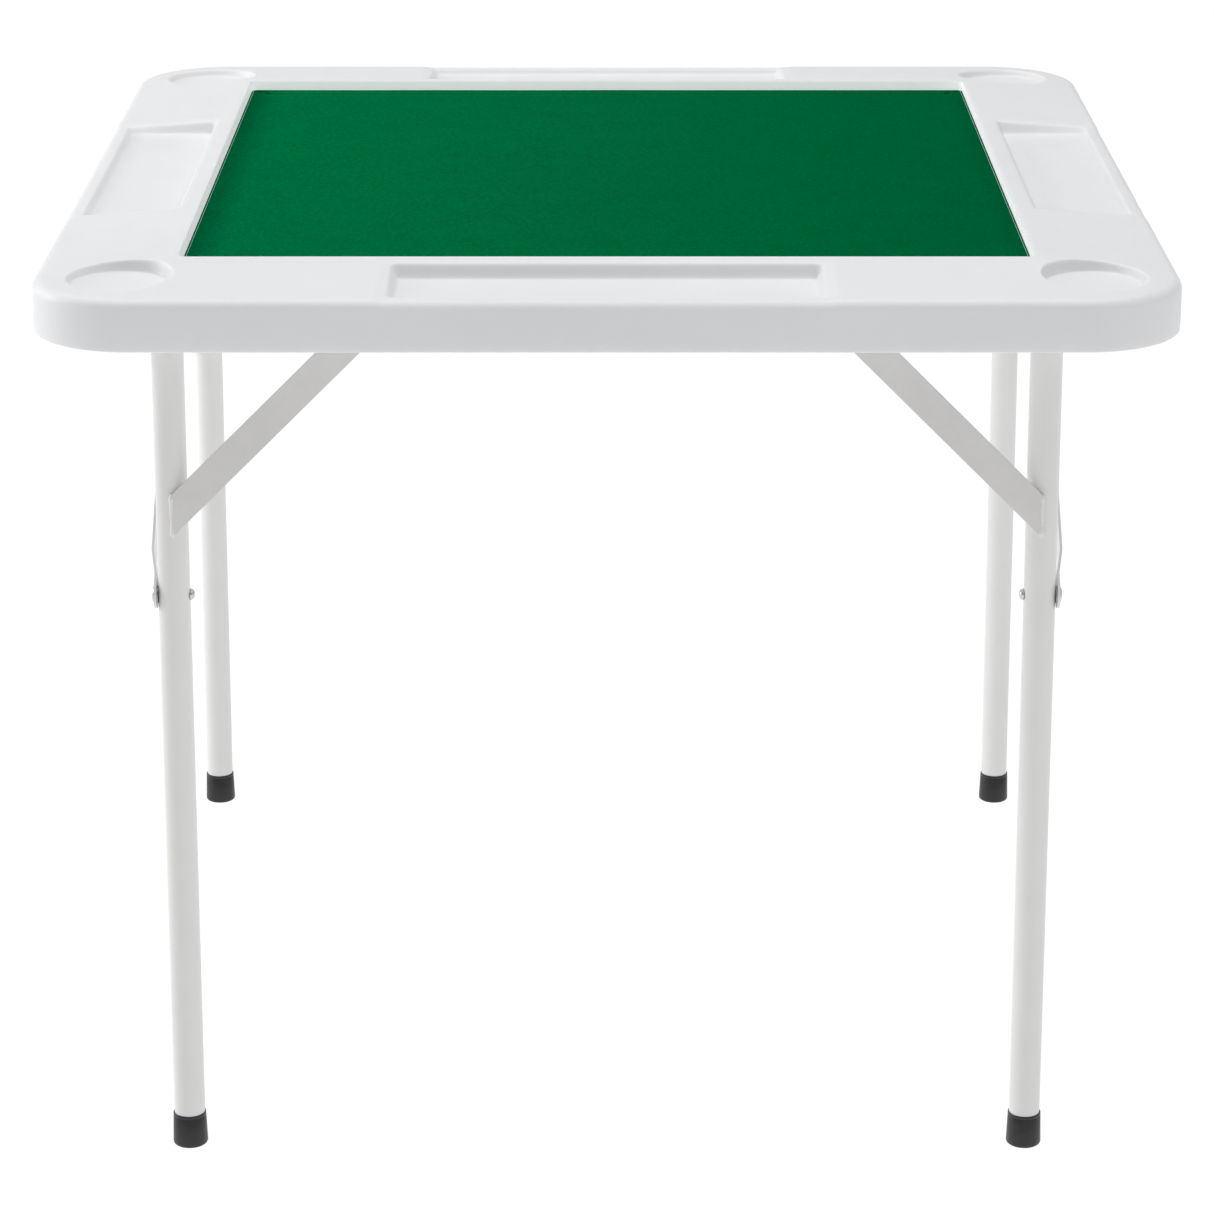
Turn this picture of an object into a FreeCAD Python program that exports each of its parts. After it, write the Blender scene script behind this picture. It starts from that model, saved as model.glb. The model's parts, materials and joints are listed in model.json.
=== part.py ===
import FreeCAD, Part
import math
import os
import Sketcher

# Folding card table: a blow-moulded top with a felt playing area, four cup holders and four chip trays,
# on two steel leg frames that fold inwards into the pan below the top.
# Frame: origin on the floor below the centre of the top, +X right, +Y to the rear, +Z up. Millimetres.

DIMENSIONS = {
    # overall
    "top_size": 880.0,
    "top_height": 738.0,
    "corner_radius": 80.0,
    "edge_top": 730.3,
    "skirt_bottom": 691.0,
    "edge_round": 8.0,
    "lower_edge_round": 1.0,
    # the pan below the top
    "pan_half": 418.0,
    "pan_roof": 721.0,
    "pan_corner": 60.0,
    # the playing area
    "recess_half": 330.5,
    "recess_corner": 6.0,
    "recess_floor": 728.5,
    "border_corner": 16.0,
    "border_inner_half": 334.0,
    "felt_half": 329.6,
    "felt_corner": 4.0,
    "felt_thickness": 1.5,
    # cup holders
    "cup_centre": 372.0,
    "cup_floor_radius": 37.5,
    "cup_top_radius": 40.5,
    "cup_floor": 727.0,
    # chip trays
    "tray_floor": 725.5,
    "tray_half_length": 160.5,
    "tray_half_length_top": 166.0,
    "tray_inner": 352.5,
    "tray_inner_top": 347.5,
    "tray_outer": 422.0,
    "tray_outer_top": 427.0,
    "tray_corner": 6.0,
    "tray_corner_top": 8.0,
    # leg frames: each leg stands at its reach where the strut bolt passes, and leans
    # outwards by the splay, which is in degrees
    "hinge_reach": 375.0,
    "front_axis": 704.0,
    "rear_axis": 702.5,
    "front_leg_reach": 338.9,
    "rear_leg_reach": 383.9,
    "leg_splay": 0.47,
    "cope_depth": 1.0,
    "tube_radius": 12.5,
    "tube_wall": 1.2,
    "crossbar_overhang": 2.0,
    "plug_flange": 2.0,
    "plug_radius": 12.0,
    "plug_length": 14.0,
    # braces
    "brace_width": 24.0,
    "brace_thickness": 3.0,
    "brace_end_drop": 141.0,
    "brace_end_offset": 2.1,
    # foot caps
    "cap_height": 28.5,
    "cap_floor": 4.0,
    "cap_base_radius": 14.25,
    "cap_top_radius": 13.3,
    "cap_edge": 1.5,
    # hinge saddles and bushings
    "saddle_reach": 300.0,
    "saddle_width": 22.0,
    "saddle_sheet": 2.0,
    "saddle_flange": 15.0,
    "saddle_screw_reach": 24.0,
    "bushing_radius": 14.5,
    "running_gap": 0.05,
    # folding struts
    "strut_drop": 227.0,
    "strut_reach": 252.0,
    "strap_width": 22.0,
    "strap_sheet": 2.0,
    "strap_pin_radius": 3.95,
    "strap_at_bolt": 0.8,
    "strap_at_knuckle": 4.3,
    "upper_strap_offset": 6.7,
    "joggle_start": 13.0,
    "joggle_end": 34.0,
    "knuckle_head": 6.5,
    "knuckle_head_height": 1.5,
    # strut anchors
    "anchor_width": 20.0,
    "anchor_flange_length": 46.0,
    "anchor_flange_depth": 22.0,
    "anchor_sheet": 2.0,
    "anchor_screw_pitch": 30.0,
    # fasteners
    "screw_radius": 2.4,
    "screw_head_radius": 4.5,
    "screw_head_height": 1.6,
    "saddle_screw_length": 6.0,
    "anchor_screw_length": 3.0,
    "bolt_radius": 3.0,
    "bolt_head_radius": 6.2,
    "bolt_head_height": 2.0,
    "washer_thickness": 0.5,
    "washer_radius": 7.0,
    "nut_radius": 4.5,
    "nut_height": 3.5,
    "pin_play": 0.3,
    "seat_play": 0.1,
    # length of a cut that has to pass right through a strap
    "cut_through": 30.0,
}

SIDES = (("left", -1), ("right", 1))
FRAMES = (
    {"name": "front", "end": -1, "axis": "[front_axis]", "reach": "[front_leg_reach]"},
    {"name": "rear", "end": 1, "axis": "[rear_axis]", "reach": "[rear_leg_reach]"},
)
NODES = []
TOLERANCE = 0.001
SCRATCH_CELL = "D1"

doc = FreeCAD.newDocument("folding_card_table")
sheet = doc.addObject("Spreadsheet::Sheet", "Params")
for row, (alias, size) in enumerate(DIMENSIONS.items(), start=1):
    sheet.set(f"A{row}", alias)
    sheet.set(f"B{row}", str(size))
    sheet.setAlias(f"B{row}", alias)
doc.recompute()


def bound(text):
    """Turn sheet names such as [top_size] into references to the spreadsheet."""
    return text.replace("[", "Params.").replace("]", "")


def size_of(text):
    """Let the sheet work out an expression over its own cells."""
    sheet.set(SCRATCH_CELL, "=" + text.replace("[", "").replace("]", ""))
    sheet.recompute()
    return float(sheet.get(SCRATCH_CELL))


def bind(item, **expressions):
    """Bind properties of a document object to expressions over the sheet."""
    for name, text in expressions.items():
        item.setExpression(name, bound(text))


def placed(x=0.0, y=0.0, z=0.0, turn=0.0, axis=(0, 0, 1)):
    return FreeCAD.Placement(FreeCAD.Vector(x, y, z), FreeCAD.Rotation(FreeCAD.Vector(*axis), turn))


def keep(item, label, placement=None):
    """Name an object as one of the table's pieces."""
    item.Label = label
    if placement is not None:
        item.Placement = placement
    NODES.append(item)
    return item


# ---- sketches ----

def sketch_on(body, role, name, lift="0"):
    """A sketch on one of the body's own origin planes, lifted off it along its normal."""
    plane = next(item for item in body.Origin.OriginFeatures if item.Role == role)
    sketch = body.newObject("Sketcher::SketchObject", name)
    sketch.AttachmentSupport = [(plane, "")]
    sketch.MapMode = "FlatFace"
    sketch.setExpression("AttachmentOffset.Base.z", bound(lift))
    return sketch


def dimension(sketch, kind, geometry, point, text, name):
    """Place a point at a distance from the sketch's origin, bound to the sheet."""
    index = sketch.addConstraint(Sketcher.Constraint(kind, -1, 1, geometry, point, size_of(text)))
    sketch.renameConstraint(index, name)
    sketch.setExpression("Constraints." + name, bound(text))


def radius(sketch, geometry, text, name):
    index = sketch.addConstraint(Sketcher.Constraint("Radius", geometry, size_of(text)))
    sketch.renameConstraint(index, name)
    sketch.setExpression("Constraints." + name, bound(text))


def arc(x, y, r, start, end):
    circle = Part.Circle(FreeCAD.Vector(x, y, 0), FreeCAD.Vector(0, 0, 1), r)
    return Part.ArcOfCircle(circle, math.radians(start), math.radians(end))


def line(x0, y0, x1, y1):
    return Part.LineSegment(FreeCAD.Vector(x0, y0, 0), FreeCAD.Vector(x1, y1, 0))


def draw_rounded_rectangle(sketch, left, right, near, far, corner):
    """Four sides and four equal corners, each side placed by its own dimension."""
    x0, x1, y0, y1, r = (size_of(text) for text in (left, right, near, far, corner))
    first = sketch.GeometryCount
    outline = [
        line(x0 + r, y0, x1 - r, y0), arc(x1 - r, y0 + r, r, -90, 0),
        line(x1, y0 + r, x1, y1 - r), arc(x1 - r, y1 - r, r, 0, 90),
        line(x1 - r, y1, x0 + r, y1), arc(x0 + r, y1 - r, r, 90, 180),
        line(x0, y1 - r, x0, y0 + r), arc(x0 + r, y0 + r, r, 180, 270),
    ]
    sketch.addGeometry(outline, False)
    for index in range(8):
        following = first + (index + 1) % 8
        sketch.addConstraint(Sketcher.Constraint("Tangent", first + index, 2, following, 1))
    for index in (0, 4):
        sketch.addConstraint(Sketcher.Constraint("Horizontal", first + index))
        sketch.addConstraint(Sketcher.Constraint("Vertical", first + index + 2))
    for index in (3, 5, 7):
        sketch.addConstraint(Sketcher.Constraint("Equal", first + 1, first + index))
    tag = f"_{first}"
    dimension(sketch, "DistanceY", first, 1, near, "near" + tag)
    dimension(sketch, "DistanceX", first + 2, 1, right, "right" + tag)
    dimension(sketch, "DistanceY", first + 4, 1, far, "far" + tag)
    dimension(sketch, "DistanceX", first + 6, 1, left, "left" + tag)
    radius(sketch, first + 1, corner, "corner" + tag)


def draw_rounded_square(sketch, half, corner):
    draw_rounded_rectangle(sketch, f"-({half})", half, f"-({half})", half, corner)


def draw_circle(sketch, x, y, r, name):
    centre = FreeCAD.Vector(size_of(x), size_of(y), 0)
    index = sketch.addGeometry(Part.Circle(centre, FreeCAD.Vector(0, 0, 1), size_of(r)), False)
    dimension(sketch, "DistanceX", index, 3, x, name + "_x")
    dimension(sketch, "DistanceY", index, 3, y, name + "_y")
    radius(sketch, index, r, name + "_radius")


def draw_polygon(sketch, corners):
    """A closed outline whose corners are pairs of expressions."""
    places = [(size_of(x), size_of(y)) for x, y in corners]
    count = len(places)
    for index, (x, y) in enumerate(places):
        x1, y1 = places[(index + 1) % count]
        sketch.addGeometry(line(x, y, x1, y1), False)
    for index, (x, y) in enumerate(corners):
        sketch.addConstraint(Sketcher.Constraint("Coincident", index, 2, (index + 1) % count, 1))
        dimension(sketch, "DistanceX", index, 1, x, f"x_{index}")
        dimension(sketch, "DistanceY", index, 1, y, f"y_{index}")


def draw_slot(sketch, length, half_width):
    """A flat bar's outline with round ends, from the origin along x."""
    span, r = size_of(length), size_of(half_width)
    first = sketch.GeometryCount
    outline = [arc(0, 0, r, 90, 270), line(0, -r, span, -r), arc(span, 0, r, -90, 90), line(span, r, 0, r)]
    sketch.addGeometry(outline, False)
    for index in range(4):
        following = first + (index + 1) % 4
        sketch.addConstraint(Sketcher.Constraint("Tangent", first + index, 2, following, 1))
    sketch.addConstraint(Sketcher.Constraint("Coincident", first, 3, -1, 1))
    sketch.addConstraint(Sketcher.Constraint("PointOnObject", first + 2, 3, -1))
    dimension(sketch, "DistanceX", first + 2, 3, length, "span")
    radius(sketch, first, half_width, "end_radius")
    sketch.addConstraint(Sketcher.Constraint("Equal", first, first + 2))


# ---- features ----

def pad(body, sketch, length, both_ways=False, flip=False):
    feature = body.newObject("PartDesign::Pad", sketch.Name + "_pad")
    feature.Profile = sketch
    bind(feature, Length=length)
    feature.Midplane = both_ways
    feature.Reversed = flip
    body.Tip = feature
    return feature


def pocket(body, sketch, length, both_ways=False, flip=False):
    feature = body.newObject("PartDesign::Pocket", sketch.Name + "_pocket")
    feature.Profile = sketch
    bind(feature, Length=length)
    feature.Midplane = both_ways
    feature.Reversed = flip
    body.Tip = feature
    return feature


def fillet(body, radius_text, picks):
    """Round the edges of the body's tip that a test picks."""
    doc.recompute()
    base = body.Tip
    names = [f"Edge{number}" for number, edge in enumerate(base.Shape.Edges, start=1) if picks(edge)]
    feature = body.newObject("PartDesign::Fillet", body.Name + "_fillet")
    feature.Base = (base, names)
    bind(feature, Radius=radius_text)
    body.Tip = feature
    return feature


def outline_edge_at(z, half):
    """Test for a level edge at a height that reaches the side of a square outline."""
    def picks(edge):
        box = edge.BoundBox
        level = abs(box.ZMin - z) < TOLERANCE and abs(box.ZMax - z) < TOLERANCE
        reach = max(abs(box.XMin), abs(box.XMax), abs(box.YMin), abs(box.YMax))
        return level and reach > half - TOLERANCE
    return picks


def cylinder(name, radius_text, height_text, placement):
    item = doc.addObject("Part::Cylinder", name)
    bind(item, Radius=radius_text, Height=height_text)
    item.Placement = placement
    return item


def joined(name, items):
    item = doc.addObject("Part::MultiFuse", name)
    item.Shapes = items
    return item


def cut(name, base, tool):
    item = doc.addObject("Part::Cut", name)
    item.Base = base
    item.Tool = tool
    return item


# ---- the top ----

def make_shell():
    """Blow-moulded top: sloping border, skirt, pan, recess, four cup holders and four chip trays."""
    body = doc.addObject("PartDesign::Body", "tabletop_shell")
    outline = sketch_on(body, "XY_Plane", "shell_outline", "[skirt_bottom]")
    draw_rounded_square(outline, "[top_size] / 2", "[corner_radius]")
    pad(body, outline, "[edge_top] - [skirt_bottom]")

    outer = sketch_on(body, "XY_Plane", "border_outer", "[edge_top]")
    draw_rounded_square(outer, "[top_size] / 2", "[corner_radius]")
    inner = sketch_on(body, "XY_Plane", "border_inner", "[top_height]")
    draw_rounded_square(inner, "[border_inner_half]", "[border_corner]")
    slope = body.newObject("PartDesign::AdditiveLoft", "border_slope")
    slope.Profile = outer
    slope.Sections = [inner]
    slope.Ruled = True
    body.Tip = slope
    half = size_of("[top_size] / 2")
    fillet(body, "[edge_round]", outline_edge_at(size_of("[edge_top]"), half))
    fillet(body, "[lower_edge_round]", outline_edge_at(size_of("[skirt_bottom]"), half))

    pan = sketch_on(body, "XY_Plane", "pan_outline", "[skirt_bottom]")
    draw_rounded_square(pan, "[pan_half]", "[pan_corner]")
    pocket(body, pan, "[pan_roof] - [skirt_bottom]", flip=True)

    recess = sketch_on(body, "XY_Plane", "recess_outline", "[top_height]")
    draw_rounded_square(recess, "[recess_half]", "[recess_corner]")
    pocket(body, recess, "[top_height] - [recess_floor]")

    drill_screw_holes(body)
    add_cups_and_trays(body)
    return keep(body, "tabletop_shell")


def saddle_screw_places():
    reach = size_of("[saddle_reach]")
    line_y = size_of("[hinge_reach]")
    step = size_of("[saddle_screw_reach]")
    return [
        (side * reach, end * line_y + offset)
        for side in (-1, 1) for end in (-1, 1) for offset in (-step, step)
    ]


def anchor_screw_places():
    pitch = size_of("[anchor_screw_pitch] / 2")
    return [
        (x - math.copysign(size_of("[anchor_flange_depth] / 2"), x), y + offset)
        for x, y, _ in anchor_places() for offset in (-pitch, pitch)
    ]


def anchor_places():
    """Outer face of each anchor's ear, and the height of its pin."""
    places = []
    for frame in FRAMES:
        y = frame["end"] * size_of("[hinge_reach] - [strut_reach]")
        x = size_of(frame["reach"] + " + [tube_radius] + [strap_at_knuckle] + [anchor_sheet]")
        places += [(side * x, y, size_of(frame["axis"])) for _, side in SIDES]
    return places


def drill_screw_holes(body):
    """Blind holes in the pan's roof for the saddle screws and the anchor screws."""
    groups = (
        ("saddle_screw_holes", saddle_screw_places(), "[saddle_screw_length]"),
        ("anchor_screw_holes", anchor_screw_places(), "[anchor_screw_length]"),
    )
    for name, places, depth in groups:
        holes = sketch_on(body, "XY_Plane", name, "[pan_roof]")
        for index, (x, y) in enumerate(places):
            draw_circle(holes, str(x), str(y), "[screw_radius]", f"hole_{index}")
        pocket(body, holes, depth, flip=True)


def add_cups_and_trays(body):
    """One cup holder and one chip tray, repeated on all four sides."""
    cup = body.newObject("PartDesign::SubtractiveCone", "cup_holder")
    bind(cup, Radius1="[cup_floor_radius]", Radius2="[cup_top_radius]", Height="[top_height] - [cup_floor]")
    cup.setExpression("Placement.Base.x", bound("[cup_centre]"))
    cup.setExpression("Placement.Base.y", bound("-[cup_centre]"))
    cup.setExpression("Placement.Base.z", bound("[cup_floor]"))
    body.Tip = cup

    floor = sketch_on(body, "XY_Plane", "tray_floor_outline", "[tray_floor]")
    draw_rounded_rectangle(floor, "-[tray_half_length]", "[tray_half_length]",
                           "-[tray_outer]", "-[tray_inner]", "[tray_corner]")
    mouth = sketch_on(body, "XY_Plane", "tray_mouth_outline", "[top_height]")
    draw_rounded_rectangle(mouth, "-[tray_half_length_top]", "[tray_half_length_top]",
                           "-[tray_outer_top]", "-[tray_inner_top]", "[tray_corner_top]")
    tray = body.newObject("PartDesign::SubtractiveLoft", "chip_tray")
    tray.Profile = floor
    tray.Sections = [mouth]
    tray.Ruled = True
    body.Tip = tray

    around = body.newObject("PartDesign::PolarPattern", "cups_and_trays")
    around.Originals = [cup, tray]
    axis = next(item for item in body.Origin.OriginFeatures if item.Role == "Z_Axis")
    around.Axis = (axis, [""])
    around.Angle = 360.0
    around.Occurrences = 4
    body.Tip = around


def make_felt():
    body = doc.addObject("PartDesign::Body", "playing_felt")
    outline = sketch_on(body, "XY_Plane", "felt_outline", "[recess_floor]")
    draw_rounded_square(outline, "[felt_half]", "[felt_corner]")
    pad(body, outline, "[felt_thickness]")
    keep(body, "playing_felt")


# ---- hinges ----

def make_hinge_bushing(name, placement, rise):
    """Nylon block that the crossbar turns in: round below the axis, flat against the pan's roof."""
    body = doc.addObject("PartDesign::Body", name)
    top = body.newObject("PartDesign::AdditiveBox", name + "_block")
    bind(top, Length="[saddle_width]", Width="2 * [bushing_radius]", Height=rise)
    top.setExpression("Placement.Base.x", bound("-[saddle_width] / 2"))
    top.setExpression("Placement.Base.y", bound("-[bushing_radius]"))
    add_round(body, name + "_round", "AdditiveCylinder", "[bushing_radius]")
    add_round(body, name + "_bore", "SubtractiveCylinder", "[tube_radius] + [running_gap]")
    keep(body, name, placement)


def add_round(body, name, kind, radius_text):
    """A cylinder along the hinge axis, across the saddle's width."""
    item = body.newObject("PartDesign::" + kind, name)
    bind(item, Radius=radius_text, Height="[saddle_width]")
    item.Placement = placed(turn=90, axis=(0, 1, 0))
    item.setExpression("Placement.Base.x", bound("-[saddle_width] / 2"))
    body.Tip = item


def make_hinge_saddle(name, placement, rise):
    """Bent steel strap under the bushing, with a flange each side against the pan's roof."""
    outer = "([bushing_radius] + [running_gap] + [saddle_sheet])"
    inner = "([bushing_radius] + [running_gap])"
    body = doc.addObject("PartDesign::Body", name)
    wall = body.newObject("PartDesign::AdditiveBox", name + "_walls")
    bind(wall, Length="[saddle_width]", Width="2 * " + outer, Height=rise)
    wall.setExpression("Placement.Base.x", bound("-[saddle_width] / 2"))
    wall.setExpression("Placement.Base.y", bound("-" + outer))
    add_round(body, name + "_bend", "AdditiveCylinder", outer)
    flange = body.newObject("PartDesign::AdditiveBox", name + "_flange")
    bind(flange, Length="[saddle_width]", Width=f"2 * ({outer} + [saddle_flange])", Height="[saddle_sheet]")
    flange.setExpression("Placement.Base.x", bound("-[saddle_width] / 2"))
    flange.setExpression("Placement.Base.y", bound(f"-({outer} + [saddle_flange])"))
    flange.setExpression("Placement.Base.z", bound(f"{rise} - [saddle_sheet]"))
    body.Tip = flange
    gap = body.newObject("PartDesign::SubtractiveBox", name + "_gap")
    bind(gap, Length="[saddle_width]", Width="2 * " + inner, Height=rise)
    gap.setExpression("Placement.Base.x", bound("-[saddle_width] / 2"))
    gap.setExpression("Placement.Base.y", bound("-" + inner))
    body.Tip = gap
    add_round(body, name + "_bore", "SubtractiveCylinder", inner)
    for index, sign in enumerate(("-", "")):
        hole = body.newObject("PartDesign::SubtractiveCylinder", f"{name}_hole_{index}")
        bind(hole, Radius="[screw_radius]", Height="[saddle_sheet]")
        hole.setExpression("Placement.Base.y", bound(sign + "[saddle_screw_reach]"))
        hole.setExpression("Placement.Base.z", bound(f"{rise} - [saddle_sheet]"))
        body.Tip = hole
    keep(body, name, placement)


def make_screw(name, x, y, roof, sheet_text, length_text):
    """Pan-head screw driven up into the pan's roof through a sheet-metal flange."""
    seat = roof - size_of(sheet_text)
    shank = cylinder(name + "_shank", "[screw_radius]", f"{sheet_text} + {length_text}", placed(x, y, seat))
    head_z = seat - size_of("[screw_head_height]")
    head = cylinder(name + "_head", "[screw_head_radius]", "[screw_head_height]", placed(x, y, head_z))
    return joined(name, [shank, head])


def make_screw_group(label, places, sheet_text, length_text):
    group = doc.addObject("Part::Compound", label)
    roof = size_of("[pan_roof]")
    group.Links = [
        make_screw(f"{label}_{index}", x, y, roof, sheet_text, length_text)
        for index, (x, y) in enumerate(places)
    ]
    keep(group, label)


# ---- struts ----

def make_anchor(name, placement, rise):
    """Angle bracket: a flange on the pan's roof and an ear that hangs down round the strut pin."""
    body = doc.addObject("PartDesign::Body", name)
    ear = body.newObject("PartDesign::AdditiveBox", name + "_ear")
    bind(ear, Length="[anchor_sheet]", Width="[anchor_width]", Height=rise)
    ear.setExpression("Placement.Base.x", bound("-[anchor_sheet]"))
    ear.setExpression("Placement.Base.y", bound("-[anchor_width] / 2"))
    end = body.newObject("PartDesign::AdditiveCylinder", name + "_ear_end")
    bind(end, Radius="[anchor_width] / 2", Height="[anchor_sheet]")
    end.Placement = placed(turn=90, axis=(0, 1, 0))
    end.setExpression("Placement.Base.x", bound("-[anchor_sheet]"))
    flange = body.newObject("PartDesign::AdditiveBox", name + "_flange")
    bind(flange, Length="[anchor_flange_depth]", Width="[anchor_flange_length]", Height="[anchor_sheet]")
    flange.setExpression("Placement.Base.x", bound("-[anchor_flange_depth]"))
    flange.setExpression("Placement.Base.y", bound("-[anchor_flange_length] / 2"))
    flange.setExpression("Placement.Base.z", bound(f"{rise} - [anchor_sheet]"))
    body.Tip = flange
    bore = body.newObject("PartDesign::SubtractiveCylinder", name + "_bore")
    bind(bore, Radius="[strap_pin_radius] + [running_gap]", Height="[anchor_sheet]")
    bore.Placement = placed(turn=90, axis=(0, 1, 0))
    bore.setExpression("Placement.Base.x", bound("-[anchor_sheet]"))
    for index, sign in enumerate(("-", "")):
        hole = body.newObject("PartDesign::SubtractiveCylinder", f"{name}_hole_{index}")
        bind(hole, Radius="[screw_radius]", Height="[anchor_sheet]")
        hole.setExpression("Placement.Base.x", bound("-[anchor_flange_depth] / 2"))
        hole.setExpression("Placement.Base.y", bound(sign + "[anchor_screw_pitch] / 2"))
        hole.setExpression("Placement.Base.z", bound(f"{rise} - [anchor_sheet]"))
        body.Tip = hole
    keep(body, name, placement)


def outward(side, x, y, z):
    """Placement that turns a part's z axis outwards along X, towards the given side."""
    return placed(x, y, z, 90 * side, (0, 1, 0))


def make_stud(name, side, x, y, z, pieces):
    """A round pin along X made of (radius, start, length) pieces, measured outwards from x."""
    parts = []
    for index, (radius_text, start, length) in enumerate(pieces):
        offset = x + side * size_of(start)
        parts.append(cylinder(f"{name}_{index}", radius_text, length, outward(side, offset, y, z)))
    return parts[0] if len(parts) == 1 else joined(name, parts)


def strap_turn(side, along_y, along_z):
    """Rotation that lays a strap's x axis along a direction and its z axis outwards."""
    x_axis = FreeCAD.Vector(0, along_y, along_z)
    z_axis = FreeCAD.Vector(side, 0, 0)
    return FreeCAD.Rotation(x_axis, z_axis.cross(x_axis), z_axis, "XZY")


def make_upper_strap(name, length, placement):
    """Flat link from the anchor pin to the knuckle."""
    body = doc.addObject("PartDesign::Body", name)
    outline = sketch_on(body, "XY_Plane", name + "_outline", "[upper_strap_offset]")
    draw_slot(outline, length, "[strap_width] / 2")
    draw_circle(outline, "0", "0", "[strap_pin_radius] + [running_gap]", "pin")
    draw_circle(outline, length, "0", "[strap_pin_radius]", "knuckle")
    pad(body, outline, "[strap_sheet]")
    keep(body, name, placement)


def make_lower_strap(name, length, placement):
    """Flat link from the leg bolt to the knuckle, joggled outwards past the bolt."""
    body = doc.addObject("PartDesign::Body", name)
    low, high, sheet_text = "[strap_at_bolt]", "[strap_at_knuckle]", "[strap_sheet]"
    bent = sketch_on(body, "XZ_Plane", name + "_side")
    draw_polygon(bent, [
        ("-[strap_width]", low), ("[joggle_start]", low), ("[joggle_end]", high),
        (f"{length} + [strap_width]", high), (f"{length} + [strap_width]", f"{high} + {sheet_text}"),
        ("[joggle_end]", f"{high} + {sheet_text}"), ("[joggle_start]", f"{low} + {sheet_text}"),
        ("-[strap_width]", f"{low} + {sheet_text}"),
    ])
    pad(body, bent, "2 * [strap_width]", both_ways=True)
    trim = sketch_on(body, "XY_Plane", name + "_outline")
    draw_rounded_rectangle(trim, "-2 * [strap_width]", f"{length} + 2 * [strap_width]",
                           "-2 * [strap_width]", "2 * [strap_width]", "[joggle_start]")
    draw_slot(trim, length, "[strap_width] / 2")
    pocket(body, trim, "[cut_through]", both_ways=True)
    holes = sketch_on(body, "XY_Plane", name + "_holes")
    draw_circle(holes, "0", "0", "[bolt_radius] + [running_gap]", "bolt")
    draw_circle(holes, length, "0", "[strap_pin_radius]", "knuckle")
    pocket(body, holes, "[cut_through]", both_ways=True)
    keep(body, name, placement)


def make_strut(frame, side_name, side):
    """The two straps of one folding strut, with the knuckle rivet split between them."""
    prefix = f"{frame['name']}_{side_name}"
    tube_x = side * size_of(frame["reach"] + " + [tube_radius]")
    hinge_z = size_of(frame["axis"])
    hinge_y = frame["end"] * size_of("[hinge_reach]")
    diagonal = "sqrt([strut_reach] ^ 2 + [strut_drop] ^ 2)"
    upper = f"(({diagonal} + [strut_reach] - [strut_drop]) / 2)"
    lower = f"(({diagonal} - [strut_reach] + [strut_drop]) / 2)"
    reach, drop, span = (size_of(text) for text in ("[strut_reach]", "[strut_drop]", diagonal))
    inward = -frame["end"]
    pin_y = hinge_y + inward * reach
    down_y, down_z = -inward * reach / span, -drop / span

    placement = FreeCAD.Placement(FreeCAD.Vector(tube_x, pin_y, hinge_z), strap_turn(side, down_y, down_z))
    make_upper_strap(prefix + "_upper_strap", upper, placement)
    bolt = FreeCAD.Vector(tube_x, hinge_y, hinge_z - drop)
    make_lower_strap(prefix + "_lower_strap", lower,
                     FreeCAD.Placement(bolt, strap_turn(side, -down_y, -down_z)))

    knuckle_y = pin_y + down_y * size_of(upper)
    knuckle_z = hinge_z + down_z * size_of(upper)
    inner = [
        ("[knuckle_head]", "[strap_at_knuckle] - [knuckle_head_height]", "[knuckle_head_height]"),
        ("[strap_pin_radius]", "[strap_at_knuckle]", "[strap_sheet]"),
    ]
    outer = [
        ("[strap_pin_radius]", "[upper_strap_offset]", "[strap_sheet]"),
        ("[knuckle_head]", "[upper_strap_offset] + [strap_sheet]", "[knuckle_head_height]"),
    ]
    for half, pieces in (("inner", inner), ("outer", outer)):
        name = f"{prefix}_knuckle_rivet_{half}"
        keep(make_stud(name, side, tube_x, knuckle_y, knuckle_z, pieces), name)


def make_anchor_pins():
    """Headed pins that the upper straps hang from."""
    pins = []
    start = "[strap_at_knuckle] - [knuckle_head_height]"
    outer = "[upper_strap_offset] + [strap_sheet] + [pin_play]"
    pieces = [
        ("[knuckle_head]", start, "[knuckle_head_height]"),
        ("[strap_pin_radius]", "[strap_at_knuckle]", f"{outer} - [strap_at_knuckle]"),
        ("[knuckle_head]", outer, "[knuckle_head_height]"),
    ]
    for index, (x, y, z) in enumerate(anchor_places()):
        side = 1 if x > 0 else -1
        tube_x = x - side * size_of("[strap_at_knuckle] + [anchor_sheet]")
        pins.append(make_stud(f"anchor_pin_{index}", side, tube_x, y, z, pieces))
    group = doc.addObject("Part::Compound", "strut_anchor_pins")
    group.Links = pins
    keep(group, "strut_anchor_pins")


# ---- leg frames ----

def make_crossbar(frame):
    """Steel tube along the hinge line, with a plastic plug in each end."""
    name = frame["name"] + "_crossbar"
    y, z = frame["end"] * size_of("[hinge_reach]"), size_of(frame["axis"])
    half = f"({frame['reach']} + [tube_radius] + [crossbar_overhang])"
    place = outward(1, -size_of(half), y, z)
    tube = cylinder(name + "_outside", "[tube_radius]", "2 * " + half, place)
    bore = cylinder(name + "_bore", "[tube_radius] - [tube_wall]", "2 * " + half, place)
    keep(cut(name, tube, bore), name)

    plugs = doc.addObject("Part::Compound", name + "_end_plugs")
    pieces = [
        ("[tube_radius] - [tube_wall]", "-[plug_length]", "[plug_length]"),
        ("[plug_radius]", "0", "[plug_flange]"),
    ]
    plugs.Links = [
        make_stud(f"{name}_plug_{side_name}", side, side * size_of(half), y, z, pieces)
        for side_name, side in SIDES
    ]
    keep(plugs, name + "_end_plugs")


def leg_offset(frame, height):
    """How far from the table's middle a leg's centre line is at a height."""
    bolt_z = size_of(frame["axis"] + " - [strut_drop]")
    lean = math.radians(size_of("[leg_splay]"))
    return size_of(frame["reach"]) + (bolt_z - height) * math.tan(lean)


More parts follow.
